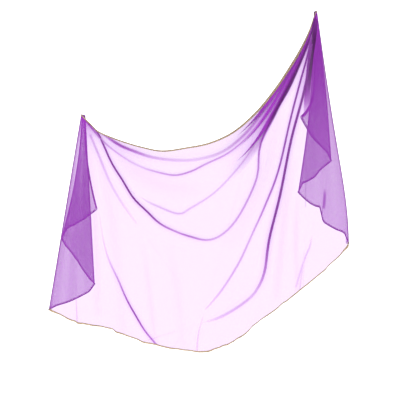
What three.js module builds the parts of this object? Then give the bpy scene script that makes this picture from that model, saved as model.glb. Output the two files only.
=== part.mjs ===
// A sheer dance veil, held up at two places on its long top edge.
//
// The cloth is one rectangle. Between the two grips it hangs as a wide bag that bows towards the viewer, and
// beyond each grip its end falls in three flat layers, folded to and fro behind the span. Gold edging runs
// along the two long edges, and the two short ends have a narrow rolled hem.
//
// Millimetres. X runs to the viewer's right, Y away from the viewer and Z up. The origin is the higher grip.

import * as THREE from 'three';

// ---------------------------------------------------------------- driving dimensions

const WALL = 1.2;               // thickness of the cloth walls
const SEAM = 0.3;               // gap between pieces that meet
const LAYER_GAP_AT_GRIP = 2.6;  // from one folded layer to the next, pinched in the hand
const LAYER_GAP_PER_METRE = 26; // how much wider the layers stand one metre below the hand
const EDGING_WIDTH = 7.5;       // gold edging on the long edges
const EDGING_THICKNESS = 1.0;
const HEM_WIDTH = 4.6;          // rolled hem on the short ends
const HEM_THICKNESS = 2.4;

const SPAN_STEPS = 80;          // mesh steps along the span
const DROP_STEPS = 30;          // mesh steps from the top edge to the bottom edge
const RAY_STEPS = 14;           // mesh steps down a falling end
const PANEL_STEPS = 8;          // mesh steps across one folded layer
const FOLD_STEPS = 6;           // mesh steps round one fold

// The span's sections, from the lower grip to the higher one. Each runs from the top edge down to the bottom
// edge. front is how far the cloth stands towards the viewer, and belly is what its middle adds to that. The
// outer folds of the two falling ends make the first and the last section.
const SECTIONS = [
  { topX: -1155, topZ: -545, topFront: 0, hemX: -1282, hemZ: -1531, hemFront: 10, belly: 3 },
  { topX: -1140, topZ: -560, topFront: 3, hemX: -1206, hemZ: -1561, hemFront: 35, belly: 8 },
  { topX: -1120, topZ: -580, topFront: 8, hemX: -1110, hemZ: -1581, hemFront: 80, belly: 15 },
  { topX: -1092, topZ: -607, topFront: 16, hemX: -1000, hemZ: -1608, hemFront: 140, belly: 22 },
  { topX: -1047, topZ: -629, topFront: 32, hemX: -884, hemZ: -1650, hemFront: 200, belly: 28 },
  { topX: -976, topZ: -656, topFront: 60, hemX: -780, hemZ: -1674, hemFront: 250, belly: 32 },
  { topX: -881, topZ: -685, topFront: 95, hemX: -691, hemZ: -1693, hemFront: 290, belly: 35 },
  { topX: -771, topZ: -706, topFront: 125, hemX: -607, hemZ: -1702, hemFront: 315, belly: 35 },
  { topX: -652, topZ: -691, topFront: 140, hemX: -533, hemZ: -1696, hemFront: 325, belly: 35 },
  { topX: -533, topZ: -666, topFront: 142, hemX: -474, hemZ: -1678, hemFront: 325, belly: 35 },
  { topX: -414, topZ: -609, topFront: 132, hemX: -425, hemZ: -1656, hemFront: 315, belly: 35 },
  { topX: -304, topZ: -512, topFront: 108, hemX: -381, hemZ: -1627, hemFront: 300, belly: 32 },
  { topX: -214, topZ: -402, topFront: 80, hemX: -331, hemZ: -1588, hemFront: 275, belly: 28 },
  { topX: -144, topZ: -299, topFront: 52, hemX: -271, hemZ: -1542, hemFront: 240, belly: 22 },
  { topX: -93, topZ: -216, topFront: 32, hemX: -191, hemZ: -1484, hemFront: 190, belly: 16 },
  { topX: -55, topZ: -143, topFront: 18, hemX: -91, hemZ: -1406, hemFront: 125, belly: 10 },
  { topX: -30, topZ: -83, topFront: 9, hemX: 21, hemZ: -1321, hemFront: 65, belly: 5 },
  { topX: -11, topZ: -25, topFront: 3, hemX: 112, hemZ: -1237, hemFront: 22, belly: 2 },
];

// Folds that run through the span, each a ridge towards the viewer. path holds [x, z] points down its crest,
// and width is half the ridge's foot.
const RIDGES = [
  { name: 'swag under the top edge', width: 46, depth: 30,
    path: [[-1155, -550], [-1075, -615], [-990, -675], [-910, -710], [-820, -740], [-705, -755],
      [-590, -750], [-465, -710], [-345, -610], [-235, -460], [-130, -295], [-45, -125]] },
  { name: 'second swag', width: 46, depth: 34,
    path: [[-1150, -560], [-1060, -665], [-955, -745], [-870, -790], [-790, -815], [-705, -830],
      [-625, -810], [-555, -775], [-435, -715], [-325, -615], [-210, -455], [-115, -305], [-35, -135]] },
  { name: 'deep swag', width: 46, depth: 38,
    path: [[-1150, -555], [-1092, -618], [-1024, -764], [-968, -853], [-913, -942], [-846, -1008],
      [-780, -1069], [-702, -1108], [-636, -1131], [-552, -1150], [-482, -1128], [-412, -1062],
      [-347, -952], [-298, -828], [-285, -685], [-218, -535], [-140, -400], [-80, -265], [-30, -145]] },
  { name: 'shallow swag', width: 50, depth: 14,
    path: [[-890, -930], [-845, -958], [-800, -980], [-690, -1020], [-625, -990], [-510, -915],
      [-395, -795], [-315, -685]] },
  { name: 'first strand from the high grip', width: 40, depth: 26,
    path: [[-30, -165], [-55, -265], [-85, -370], [-135, -560], [-195, -810], [-265, -990], [-320, -1110],
      [-390, -1260], [-475, -1395], [-550, -1485]] },
  { name: 'second strand from the high grip', width: 40, depth: 30,
    path: [[-20, -175], [-40, -295], [-70, -435], [-130, -655], [-185, -925], [-240, -1145], [-265, -1310],
      [-310, -1405], [-375, -1465], [-475, -1525], [-545, -1550]] },
  { name: 'fold from the low grip', width: 50, depth: 28,
    path: [[-1125, -705], [-1090, -975], [-1050, -1205], [-985, -1355], [-945, -1445], [-900, -1525],
      [-852, -1602], [-786, -1680]] },
  { name: 'shallow fold from the low grip', width: 52, depth: 20,
    path: [[-1130, -630], [-1085, -735], [-1030, -865], [-965, -975], [-900, -1065]] },
  { name: 'bundle beside the falling end', width: 30, depth: 16,
    path: [[-6, -60], [-16, -150], [-29, -235], [-37, -310], [-43, -372], [-47, -425], [-49, -470],
      [-50, -500]] },
  { name: 'faint fold at the high side', width: 30, depth: 10,
    path: [[-25, -1125], [-35, -1180], [-60, -1240], [-80, -1300], [-105, -1380]] },
  { name: 'short fold at the hem, low side', width: 42, depth: 22,
    path: [[-1200, -1330], [-1200, -1450], [-1195, -1580]] },
  { name: 'short fold at the hem, middle', width: 48, depth: 22,
    path: [[-560, -1500], [-590, -1610], [-600, -1730]] },
  { name: 'short fold at the hem, high side', width: 46, depth: 20,
    path: [[-60, -1200], [-75, -1310], [-90, -1420]] },
];
const RIDGE_FADE = 160;         // length over which a ridge rises at its two ends
const RIDGE_PINCH = 0.55;       // width of a ridge at its ends, as a share of its full width
const RIDGE_OPENS = 450;        // distance from its ends at which a ridge has its full width
const RIDGE_CLEAR = 0.07;       // share of the span at each side that the ridges stay out of

// The falling ends. Each ray is one fold line from the hand down to the short end of the cloth: where it leaves
// the hand and where it meets the end hem. The first ray is the outer fold, which the span hangs from, and the
// last is the free top edge. bow is how far a ray's middle stands to the right of a straight line. A flare
// above 1 keeps a ray steep at first and spreads it near its end. drops moves the end hem down (or up) at even
// steps across the layer that follows.
const HIGH_RAYS = [
  { gripX: 3, gripZ: -4, endX: 163, endZ: -1165, bow: 0, flare: 1,
    drops: [0, -26.5, -24, -14.5, -4.5, 3, 10.5, 16, 18, -31.5, -23, -12.5, -5.5, -1.5, 0.5, 0.5, 0] },
  { gripX: -14, gripZ: -10, endX: -91, endZ: -909, bow: 20, flare: 1,
    drops: [0, -21, -12, -4, 2, -5, -5, -2, 0] },
  { gripX: 0, gripZ: -8, endX: 76, endZ: -751, bow: 8, flare: 1,
    drops: [0, -14, -4, 4, 12, 17, 13, 7, 0] },
  { gripX: -12, gripZ: -10, endX: -78, endZ: -531, bow: 0, flare: 9,
    drops: [0, 0] },
];
const LOW_RAYS = [
  { gripX: -1177, gripZ: -523, endX: -1339, endZ: -1498, bow: 0, flare: 1,
    drops: [0, 0, 6, 14, 19, 22, 23, 22, 0] },
  { gripX: -1155, gripZ: -528, endX: -1110, endZ: -1368, bow: 0, flare: 1,
    drops: [0, 8, 11, 12, 6, 6, 6, 9, 0] },
  { gripX: -1172, gripZ: -526, endX: -1276, endZ: -1138, bow: 18, flare: 1,
    drops: [0, -24, -20, -14, -9, -5, -3, -1, 0] },
  { gripX: -1156, gripZ: -528, endX: -1097, endZ: -993, bow: 0, flare: 2.2,
    drops: [0, 0] },
];
const HIGH_SIDE = 1;            // the higher grip's outer fold lies to the right
const LOW_SIDE = -1;            // the lower grip's outer fold lies to the left
const LAYER_BILLOW = 14;        // how far a layer bows away from the viewer between its folds
const FOLD_START = 0.1;         // share of a fold's first step that is still flat
const WIDEST_EDGING = 0.12;     // share of the last layer that its edging may cover near the hand

const CLOTH = { color: 0x8a2fb0, roughness: 0.75, metalness: 0 };
const HEM = { color: 0x5a1480, roughness: 0.7, metalness: 0 };
const GOLD = { color: 0xc9a46a, roughness: 0.35, metalness: 0.85 };

// ---------------------------------------------------------------- curves

// A smooth curve through evenly spaced values, at t from 0 to 1.
function along(values, t) {
  const last = values.length - 1;
  const place = Math.min(Math.max(t, 0), 1) * last;
  const i = Math.min(Math.floor(place), last - 1);
  const f = place - i;
  const before = values[Math.max(i - 1, 0)];
  const a = values[i];
  const b = values[i + 1];
  const after = values[Math.min(i + 2, last)];
  const slopeA = (b - before) / 2;
  const slopeB = (after - a) / 2;
  const f2 = f * f;
  const f3 = f2 * f;
  return a * (2 * f3 - 3 * f2 + 1) + slopeA * (f3 - 2 * f2 + f) + b * (3 * f2 - 2 * f3) + slopeB * (f3 - f2);
}

function mix(a, b, t) {
  return a + (b - a) * t;
}

function smooth(from, to, value) {
  const t = Math.min(Math.max((value - from) / (to - from), 0), 1);
  return t * t * (3 - 2 * t);
}

// ---------------------------------------------------------------- the span

const PATH_SAMPLES = 48;
const ridges = RIDGES.map((ridge) => {
  const xs = ridge.path.map((point) => point[0]);
  const zs = ridge.path.map((point) => point[1]);
  const samples = [];
  let length = 0;
  for (let i = 0; i <= PATH_SAMPLES; i += 1) {
    const x = along(xs, i / PATH_SAMPLES);
    const z = along(zs, i / PATH_SAMPLES);
    if (i > 0) length += Math.hypot(x - samples[i - 1].x, z - samples[i - 1].z);
    samples.push({ x, z, length });
  }
  return { ...ridge, samples, length };
});

// How far one ridge lifts the cloth at a place.
function ridgeLift(ridge, x, z) {
  let nearest = Infinity;
  let at = 0;
  for (let i = 0; i < PATH_SAMPLES; i += 1) {
    const a = ridge.samples[i];
    const b = ridge.samples[i + 1];
    const dx = b.x - a.x;
    const dz = b.z - a.z;
    const t = Math.min(Math.max(((x - a.x) * dx + (z - a.z) * dz) / (dx * dx + dz * dz), 0), 1);
    const distance = Math.hypot(x - a.x - dx * t, z - a.z - dz * t);
    if (distance < nearest) {
      nearest = distance;
      at = mix(a.length, b.length, t);
    }
  }
  const ends = smooth(0, RIDGE_FADE, at) * smooth(0, RIDGE_FADE, ridge.length - at);
  const spread = mix(RIDGE_PINCH, 1, smooth(0, RIDGE_OPENS, Math.min(at, ridge.length - at)));
  return ridge.depth * ends * Math.exp(-((nearest / (ridge.width * spread)) ** 2));
}

// The fold that joins the span to a falling end: its wall stops half a gap inside the fold's visible edge.
function sideSection(ray, side) {
  const length = Math.hypot(ray.endX - ray.gripX, ray.endZ - ray.gripZ);
  return {
    topX: ray.gripX - (side * layerGap(0)) / 2,
    topZ: ray.gripZ,
    topFront: 0,
    hemX: ray.endX - (side * layerGap(length)) / 2,
    hemZ: ray.endZ,
    hemFront: 0,
    belly: 0,
  };
}

const sections = [sideSection(LOW_RAYS[0], LOW_SIDE), ...SECTIONS, sideSection(HIGH_RAYS[0], HIGH_SIDE)];

// How far down the span a row lies. The first and the last row are as wide as the edging that they carry.
function rowShare(row, edging) {
  if (row === 0) return 0;
  if (row === DROP_STEPS) return 1;
  return mix(edging, 1 - edging, (row - 1) / (DROP_STEPS - 2));
}

// A point on the middle of the span's wall: u runs from the lower grip to the higher one, and the rows from the
// top edge to the bottom edge.
function spanPoint(u, row) {
  const column = (name) => along(sections.map((section) => section[name]), u);
  const drop = Math.hypot(column('topX') - column('hemX'), column('topZ') - column('hemZ'));
  const v = rowShare(row, EDGING_WIDTH / drop);
  const x = mix(column('topX'), column('hemX'), v);
  const z = mix(column('topZ'), column('hemZ'), v);
  const bow = mix(column('topFront'), column('hemFront'), v) + column('belly') * Math.sin(Math.PI * v);
  const clear = smooth(0, RIDGE_CLEAR, u) * smooth(0, RIDGE_CLEAR, 1 - u);
  // Where ridges run together near a grip, cubes keep the deepest one in charge instead of stacking them.
  const lift = Math.cbrt(ridges.reduce((sum, ridge) => sum + ridgeLift(ridge, x, z) ** 3, 0));
  return new THREE.Vector3(x, -bow - lift * clear, z);
}

// ---------------------------------------------------------------- the falling ends

function layerGap(distance) {
  return LAYER_GAP_AT_GRIP + (LAYER_GAP_PER_METRE * distance) / 1000;
}

// The steps across a falling end: round the outer fold, across a layer, round the next fold and so on.
function fallSteps(rays) {
  const steps = [{ layer: 0, part: 'fold', t: 0 }];
  for (let layer = 0; layer < rays.length - 1; layer += 1) {
    for (let i = 0; i < FOLD_STEPS; i += 1) {
      steps.push({ layer, part: 'fold', t: (i + FOLD_START) / FOLD_STEPS });
    }
    for (let i = 0; i < PANEL_STEPS; i += 1) steps.push({ layer, part: 'panel', t: i / PANEL_STEPS });
  }
  steps.push({ layer: rays.length - 2, part: 'edging', t: 1 }, { layer: rays.length - 2, part: 'panel', t: 1 });
  return steps;
}

// How much of a layer's width the round of one of its folds takes up at the end hem.
function foldShare(rays, layer, ray) {
  const length = Math.hypot(ray.endX - ray.gripX, ray.endZ - ray.gripZ);
  return layerGap(length) / 2 / Math.abs(rays[layer + 1].endX - rays[layer].endX);
}

// The height of the end hem at a share of the way across a layer.
function hemHeight(rays, layer, across) {
  return mix(rays[layer].endZ, rays[layer + 1].endZ, across) - along(rays[layer].drops, across);
}

// The height of the end hem at one step. Round a fold the hem runs out to the fold's tip and back.
function stepHeight(rays, step, t) {
  const { layer } = step;
  const ray = rays[layer];
  const next = rays[layer + 1];
  const near = foldShare(rays, layer, ray);
  const far = layer === rays.length - 2 ? 0 : foldShare(rays, layer, next);
  if (step.part !== 'fold') return hemHeight(rays, layer, mix(near, 1 - far, t));
  let from = ray.endZ;
  if (step.t > 0.5) from = hemHeight(rays, layer, near);
  else if (layer > 0) from = hemHeight(rays, layer - 1, 1 - foldShare(rays, layer - 1, ray));
  return mix(from, ray.endZ, Math.sin(Math.PI * step.t));
}

// Where a ray is, at a share of the way from the hand to the end hem.
function rayX(ray, r) {
  return mix(ray.gripX, ray.endX, r ** ray.flare) + ray.bow * Math.sin(Math.PI * r);
}

// A point on the middle of a falling end's wall, r being the share of the way from the hand to the end hem.
function fallPoint(rays, side, step, r) {
  const from = rays[step.layer];
  const to = rays[step.layer + 1];
  const width = Math.abs(rayX(to, r) - rayX(from, r));
  const t = { fold: 0, panel: step.t, edging: 1 - Math.min(EDGING_WIDTH / width, WIDEST_EDGING) }[step.part];
  const endX = mix(from.endX, to.endX, t);
  const endZ = stepHeight(rays, step, t);
  const gripX = mix(from.gripX, to.gripX, t);
  const gripZ = mix(from.gripZ, to.gripZ, t);
  const gap = layerGap(r * Math.hypot(endX - gripX, endZ - gripZ));
  const outward = step.layer % 2 === 0 ? side : -side;
  const isFree = step.layer === rays.length - 2;
  // The fold's centre stands half a gap inside its visible edge, so each layer stops short of its two rays.
  const nearPull = (-outward * gap * (1 - t)) / 2;
  const farPull = isFree ? 0 : (outward * gap * t) / 2;
  let x = mix(rayX(from, r), rayX(to, r), t) + nearPull + farPull;
  let y = gap * (step.layer + 1) + LAYER_BILLOW * r * Math.sin(Math.PI * t);
  if (step.part === 'fold') {
    const turn = Math.PI * step.t;
    x += outward * ((gap / 2) * Math.sin(turn) + (step.layer === 0 ? SEAM : 0));
    y -= (gap / 2) * (1 + Math.cos(turn));
  }
  return new THREE.Vector3(x, y, mix(gripZ, endZ, r));
}

// ---------------------------------------------------------------- walls and strips

// A grid of points with the direction that faces the viewer's side of the cloth at each.
function faceGrid(columns, rows, pointAt, side = 1) {
  const points = [];
  for (let c = 0; c <= columns; c += 1) {
    points.push([]);
    for (let r = 0; r <= rows; r += 1) points[c].push(pointAt(c, r));
  }
  const faces = points.map((column, c) => column.map((point, r) => {
    const across = new THREE.Vector3().subVectors(
      points[Math.min(c + 1, columns)][r], points[Math.max(c - 1, 0)][r]);
    const down = new THREE.Vector3().subVectors(column[Math.min(r + 1, rows)], column[Math.max(r - 1, 0)]);
    return new THREE.Vector3().crossVectors(down, across).normalize().multiplyScalar(side);
  }));
  return { points, faces, columns, rows };
}

// A closed tube of quads: rings is a list of closed rings of points, capped at its two ends.
function loft(rings) {
  const count = rings[0].length;
  const positions = rings.flat().flatMap((point) => [point.x, point.y, point.z]);
  const index = [];
  for (let i = 0; i < rings.length - 1; i += 1) {
    for (let j = 0; j < count; j += 1) {
      const a = i * count + j;
      const b = i * count + ((j + 1) % count);
      index.push(a, b, a + count, b, b + count, a + count);
    }
  }
  const last = (rings.length - 1) * count;
  for (let j = 1; j < count - 1; j += 1) {
    index.push(0, j + 1, j);
    index.push(last, last + j, last + j + 1);
  }
  return solid(positions, index);
}

// A closed body from its points and triangles, turned to face outwards whichever way its strip was laid.
function solid(positions, index) {
  const corner = (i) => new THREE.Vector3().fromArray(positions, index[i] * 3);
  let volume = 0;
  for (let i = 0; i < index.length; i += 3) {
    volume += corner(i).dot(corner(i + 1).cross(corner(i + 2)));
  }
  if (volume < 0) index.reverse();
  const geometry = new THREE.BufferGeometry();
  geometry.setAttribute('position', new THREE.Float32BufferAttribute(positions, 3));
  geometry.setIndex(index);
  geometry.computeVertexNormals();
  return geometry;
}

// The wall of cloth round a grid of points: a front skin, a back skin and the four edges between them.
function wall(grid) {
  const { points, faces, columns, rows } = grid;
  const stride = rows + 1;
  const size = (columns + 1) * stride;
  const positions = [];
  for (const sign of [1, -1]) {
    for (let c = 0; c <= columns; c += 1) {
      for (let r = 0; r <= rows; r += 1) {
        const skin = points[c][r].clone().addScaledVector(faces[c][r], (sign * WALL) / 2);
        positions.push(skin.x, skin.y, skin.z);
      }
    }
  }
  const index = [];
  const quad = (a, b, c, d) => index.push(a, b, c, a, c, d);
  for (let c = 0; c < columns; c += 1) {
    for (let r = 0; r < rows; r += 1) {
      const a = c * stride + r;
      quad(a, a + 1, a + 1 + stride, a + stride);
      quad(size + a, size + a + stride, size + a + 1 + stride, size + a + 1);
    }
  }
  for (let c = 0; c < columns; c += 1) {
    const top = c * stride;
    const bottom = top + rows;
    quad(top, top + stride, size + top + stride, size + top);
    quad(bottom, size + bottom, size + bottom + stride, bottom + stride);
  }
  for (let r = 0; r < rows; r += 1) {
    const far = columns * stride + r;
    quad(r, size + r, size + r + 1, r + 1);
    quad(far, far + 1, size + far + 1, size + far);
  }
  return solid(positions, index);
}

// The edge of a grid: each of its points, and the point next to it further in.
function gridEdge(grid, places) {
  const read = ([c, r]) => ({ point: grid.points[c][r], face: grid.faces[c][r] });
  return places.map(({ at, inner }) => ({ cut: read(at), inner: read(inner) }));
}

function raised({ point, face }, height) {
  return point.clone().addScaledVector(face, height);
}

// Edging that lies on the viewer's side of the cloth, from its cut edge to the next row of its points. Its
// quads are split the way the cloth's are, which innerFirst says, so that it lies flat on them.
function edging(edge, innerFirst) {
  const floor = WALL / 2 + SEAM;
  const top = floor + EDGING_THICKNESS;
  return loft(edge.map(({ cut, inner }) => {
    const ring = [raised(cut, floor), raised(cut, top), raised(inner, top), raised(inner, floor)];
    return innerFirst ? ring.reverse() : ring;
  }));
}

// A rolled hem just beyond the cut edge of the cloth.
function rolledHem(edge) {
  const half = HEM_THICKNESS / 2;
  return loft(edge.map(({ cut, inner }, i) => {
    const before = edge[Math.max(i - 1, 0)].cut.point;
    const after = edge[Math.min(i + 1, edge.length - 1)].cut.point;
    const out = new THREE.Vector3().subVectors(after, before).cross(cut.face).normalize();
    if (out.dot(inner.point) > out.dot(cut.point)) out.negate();
    const beyond = (distance, height) => raised(cut, height).addScaledVector(out, distance);
    const far = SEAM + HEM_WIDTH;
    return [beyond(SEAM, -half), beyond(SEAM, half), beyond(far, half), beyond(far, -half)];
  }));
}

function range(from, to) {
  return Array.from({ length: to - from + 1 }, (unused, i) => from + i);
}

// ---------------------------------------------------------------- the pieces

const group = new THREE.Group();

function addPiece(name, geometry, finish) {
  const mesh = new THREE.Mesh(geometry, new THREE.MeshStandardMaterial(finish));
  mesh.name = name;
  group.add(mesh);
}

const spanGrid = faceGrid(SPAN_STEPS, DROP_STEPS, (c, r) => spanPoint(c / SPAN_STEPS, r));
addPiece('cloth_span', wall(spanGrid), CLOTH);

const bottomEdge = gridEdge(spanGrid, range(0, SPAN_STEPS).map((c) => (
  { at: [c, DROP_STEPS], inner: [c, DROP_STEPS - 1] })));
const topEdge = gridEdge(spanGrid, range(0, SPAN_STEPS).map((c) => ({ at: [c, 0], inner: [c, 1] })));
addPiece('edging_bottom', edging(bottomEdge, true), GOLD);
addPiece('edging_top', edging(topEdge, false), GOLD);

function addFall(rays, side, names) {
  const steps = fallSteps(rays);
  const columns = steps.length - 1;
  const grid = faceGrid(columns, RAY_STEPS, (c, r) => fallPoint(rays, side, steps[c], r / RAY_STEPS), side);
  addPiece(names.fall, wall(grid), CLOTH);
  const freeEdge = gridEdge(grid, range(0, RAY_STEPS).map((r) => (
    { at: [columns, r], inner: [columns - 1, r] })));
  addPiece(names.edging, edging(freeEdge, true), GOLD);
  const endEdge = gridEdge(grid, range(0, columns).map((c) => (
    { at: [c, RAY_STEPS], inner: [c, RAY_STEPS - 1] })));
  addPiece(names.hem, rolledHem(endEdge), HEM);
}

addFall(HIGH_RAYS, HIGH_SIDE, { fall: 'fall_high_hand', edging: 'edging_high_end', hem: 'hem_high_end' });
addFall(LOW_RAYS, LOW_SIDE, { fall: 'fall_low_hand', edging: 'edging_low_end', hem: 'hem_low_end' });

export default group;
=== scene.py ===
# %% [markdown]
# # A sheer dance veil
# The veil is one rectangle of chiffon with gold braid on its two long edges and a rolled hem on its two short
# ends. It is held up at two places on its long top edge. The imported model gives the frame: X runs to the
# viewer's right, Y away from the viewer and Z up, in metres, with the higher grip at the origin.

# %% Load the frame
import math
import bmesh
import bpy
import numpy as np
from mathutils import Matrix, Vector


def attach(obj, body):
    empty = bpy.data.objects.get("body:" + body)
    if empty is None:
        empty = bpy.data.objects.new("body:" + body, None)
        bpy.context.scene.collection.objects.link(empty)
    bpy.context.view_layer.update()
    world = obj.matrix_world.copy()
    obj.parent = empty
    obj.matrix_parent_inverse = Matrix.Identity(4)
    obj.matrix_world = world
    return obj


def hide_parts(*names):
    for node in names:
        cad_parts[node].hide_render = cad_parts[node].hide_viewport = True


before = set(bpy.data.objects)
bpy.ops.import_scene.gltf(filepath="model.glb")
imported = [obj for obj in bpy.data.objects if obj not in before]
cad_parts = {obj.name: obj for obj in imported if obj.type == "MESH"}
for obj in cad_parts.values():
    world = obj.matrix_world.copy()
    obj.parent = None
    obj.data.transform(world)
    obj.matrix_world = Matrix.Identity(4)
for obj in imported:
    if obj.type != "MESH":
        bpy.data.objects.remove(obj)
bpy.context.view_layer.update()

bpy.ops.object.select_all(action="DESELECT")

# %% [markdown]
# ## The sizes of the cloth
# A hung cloth could be simulated, but then its folds fall where the solver likes. Here each fold has a known
# place, so the cloth is worked out from a table of sections. A section is a straight line down the cloth,
# from the top edge to the bottom edge, and a smooth curve joins the same column of all sections.

# %% Name the sizes
LAYER_GAP_AT_GRIP = 0.0026
LAYER_GAP_PER_METRE = 0.026
LAYER_BILLOW = 0.014
BRAID_WIDTH = 0.0075
BRAID_LIFT = 0.0009
BRAID_CROWN = 0.0011
HEM_RADIUS = 0.0032
SEAM = 0.0003

SECTION_COLUMNS = ("top_x", "top_z", "top_front", "hem_x", "hem_z", "hem_front", "belly")
SECTIONS = [
    (-1.155, -0.545, 0.000, -1.282, -1.531, 0.010, 0.003),
    (-1.140, -0.560, 0.003, -1.206, -1.561, 0.035, 0.008),
    (-1.120, -0.580, 0.008, -1.110, -1.581, 0.080, 0.015),
    (-1.092, -0.607, 0.016, -1.000, -1.608, 0.140, 0.022),
    (-1.047, -0.629, 0.032, -0.884, -1.650, 0.200, 0.028),
    (-0.976, -0.656, 0.060, -0.780, -1.674, 0.250, 0.032),
    (-0.881, -0.685, 0.095, -0.691, -1.693, 0.290, 0.035),
    (-0.771, -0.706, 0.125, -0.607, -1.702, 0.315, 0.035),
    (-0.652, -0.691, 0.140, -0.533, -1.696, 0.325, 0.035),
    (-0.533, -0.666, 0.142, -0.474, -1.678, 0.325, 0.035),
    (-0.414, -0.609, 0.132, -0.425, -1.656, 0.315, 0.035),
    (-0.304, -0.512, 0.108, -0.381, -1.627, 0.300, 0.032),
    (-0.214, -0.402, 0.080, -0.331, -1.588, 0.275, 0.028),
    (-0.144, -0.299, 0.052, -0.271, -1.542, 0.240, 0.022),
    (-0.093, -0.216, 0.032, -0.191, -1.484, 0.190, 0.016),
    (-0.055, -0.143, 0.018, -0.091, -1.406, 0.125, 0.010),
    (-0.030, -0.083, 0.009, 0.021, -1.321, 0.065, 0.005),
    (-0.011, -0.025, 0.003, 0.112, -1.237, 0.022, 0.002),
]

# The falling ends: each ray is one fold line from the hand down to the short end of the cloth, and the last is
# the free top edge. bow is how far its middle stands to the right of a straight line. A flare above 1 keeps it
# steep at first and spreads it near its end. drops moves the end hem down or up at even steps across the layer
# that follows.
HIGH_RAYS = [
    (0.003, -0.004, 0.163, -1.165, 0, 1, (
        0, -0.0265, -0.024, -0.0145, -0.0045, 0.003, 0.0105, 0.016, 0.018, -0.0315, -0.023, -0.0125, -0.0055,
        -0.0015, 0.0005, 0.0005, 0)),
    (-0.014, -0.010, -0.091, -0.909, 0.020, 1, (0, -0.021, -0.012, -0.004, 0.002, -0.005, -0.005, -0.002, 0)),
    (0.000, -0.008, 0.076, -0.751, 0.008, 1, (0, -0.014, -0.004, 0.004, 0.012, 0.017, 0.013, 0.007, 0)),
    (-0.012, -0.010, -0.078, -0.531, 0, 9, (0, 0)),
]
LOW_RAYS = [
    (-1.177, -0.523, -1.339, -1.498, 0, 1, (0, 0, 0.006, 0.014, 0.019, 0.022, 0.023, 0.022, 0)),
    (-1.155, -0.528, -1.110, -1.368, 0, 1, (0, 0.008, 0.011, 0.012, 0.006, 0.006, 0.006, 0.009, 0)),
    (-1.172, -0.526, -1.276, -1.138, 0.018, 1, (0, -0.024, -0.020, -0.014, -0.009, -0.005, -0.003, -0.001, 0)),
    (-1.156, -0.528, -1.097, -0.993, 0, 2.2, (0, 0)),
]
HIGH_SIDE, LOW_SIDE = 1, -1
HIGH_GRIP = (0.0, 0.0)
LOW_GRIP = (-1.168, -0.523)
print(len(SECTIONS) + 2, "sections and", len(HIGH_RAYS), "rays a side")

# %% [markdown]
# ## Curves through tables
# A smooth curve through evenly spaced values is a Catmull-Rom spline: each stretch takes its slopes from its
# neighbours, so it passes through every value with no corner. numpy works a whole grid of points out at once.

# %% Curves
def along(values, t):
    values = np.asarray(values, float)
    last = len(values) - 1
    place = np.clip(t, 0, 1) * last
    i = np.minimum(place.astype(int), last - 1)
    f = place - i
    before, a = values[np.maximum(i - 1, 0)], values[i]
    b, after = values[i + 1], values[np.minimum(i + 2, last)]
    slope_a, slope_b = (b - before) / 2, (after - a) / 2
    f2, f3 = f * f, f * f * f
    return a * (2 * f3 - 3 * f2 + 1) + slope_a * (f3 - 2 * f2 + f) + b * (3 * f2 - 2 * f3) + slope_b * (f3 - f2)


def mix(a, b, t):
    return a + (b - a) * t


def smooth(start, end, value):
    t = np.clip((value - start) / (end - start), 0, 1)
    return t * t * (3 - 2 * t)


def bell(distance, width):
    return np.exp(-((distance / width) ** 2))


def layer_gap(distance):
    return LAYER_GAP_AT_GRIP + LAYER_GAP_PER_METRE * distance
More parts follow.
